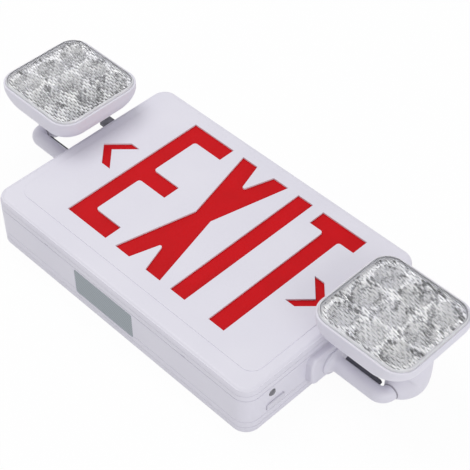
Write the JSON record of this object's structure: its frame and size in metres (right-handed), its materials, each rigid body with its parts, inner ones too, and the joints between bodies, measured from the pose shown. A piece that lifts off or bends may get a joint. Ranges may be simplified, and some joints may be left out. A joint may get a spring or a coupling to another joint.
{
  "type": "emergency exit light",
  "caption": "Lit exit sign in a slim rounded housing with two swivelling lamp heads on short side arms, a test button and a status lamp.",
  "frame": {"origin": "middle of the back plate's rear face", "axes": "+X along the sign's words, +Y up the sign, +Z out of its face"},
  "size_m": [0.4874, 0.204, 0.0848],
  "materials": {
    "white_plastic": "satin moulded thermoplastic, cool white",
    "red_panel": "translucent red acrylic",
    "tray_plastic": "matt white moulding",
    "circuit_board": "solder-masked board",
    "core_steel": "varnished laminations",
    "battery_sleeve": "shrink sleeve",
    "bright_steel": "zinc plated",
    "dark_plastic": "dark grey moulding",
    "dark_rubber": "friction ring",
    "button_plastic": "satin key cap",
    "smoke_lens": "tinted lens",
    "clear_lens": "clear ribbed polycarbonate",
    "mirror_coat": "vacuum metallised"
  },
  "bodies": {
    "sign": {"arm_pad_left": "white_plastic", "arm_pad_right": "white_plastic", "back_plate": "white_plastic", "battery_clip": "bright_steel", "battery_pack": "battery_sleeve", "board_screws": "bright_steel", "charger_board": "circuit_board", "front_cover": "white_plastic", "housing_frame": "white_plastic", "indicator_lens": "smoke_lens", "light_tray": "tray_plastic", "pad_screws": "bright_steel", "plate_screws": "bright_steel", "red_diffuser": "red_panel", "side_tab_left": "dark_plastic", "side_tab_right": "dark_plastic", "sign_led_strip_bottom": "circuit_board", "sign_led_strip_top": "circuit_board", "switch_board": "circuit_board", "switch_screws": "bright_steel", "test_switch": "dark_plastic", "transformer": "core_steel"},
    "arm_left": {"arm_left": "white_plastic", "arm_lead_cover_left": "dark_plastic", "arm_washer_left": "bright_steel", "arm_nut_left": "bright_steel", "swivel_ring_left": "dark_rubber", "pan_clip_left": "bright_steel"},
    "lamp_left": {"lamp_shell_left": "white_plastic", "lamp_lens_left": "clear_lens", "lamp_reflector_left": "mirror_coat", "lamp_led_board_left": "circuit_board", "lamp_screws_left": "bright_steel"},
    "arm_right": {"arm_right": "white_plastic", "arm_lead_cover_right": "dark_plastic", "arm_washer_right": "bright_steel", "arm_nut_right": "bright_steel", "swivel_ring_right": "dark_rubber", "pan_clip_right": "bright_steel"},
    "lamp_right": {"lamp_shell_right": "white_plastic", "lamp_lens_right": "clear_lens", "lamp_reflector_right": "mirror_coat", "lamp_led_board_right": "circuit_board", "lamp_screws_right": "bright_steel"},
    "button": {"test_button": "button_plastic"}
  },
  "joints": [
    {"name": "tilt_right", "type": "hinge", "parent": "sign", "child": "arm_right", "pos_m": [0.16, -0.0095, 0.022], "axis": [1, 0, 0], "range_deg": [-5, 34]},
    {"name": "pan_right", "type": "hinge", "parent": "arm_right", "child": "lamp_right", "pos_m": [0.216, 0, 0.022], "axis": [0, 1, 0], "range_deg": [-2, 80]},
    {"name": "tilt_left", "type": "hinge", "parent": "sign", "child": "arm_left", "pos_m": [-0.16, -0.0095, 0.022], "axis": [1, 0, 0], "range_deg": [-5, 34]},
    {"name": "pan_left", "type": "hinge", "parent": "arm_left", "child": "lamp_left", "pos_m": [-0.216, 0, 0.022], "axis": [0, -1, 0], "range_deg": [-2, 80]},
    {"name": "test_button_press", "type": "slide", "parent": "sign", "child": "button", "axis": [-1, 0, 0], "range_m": [0, 0.0013], "stiffness_N_per_m": 600, "springref_m": -0.0015}
  ]
}
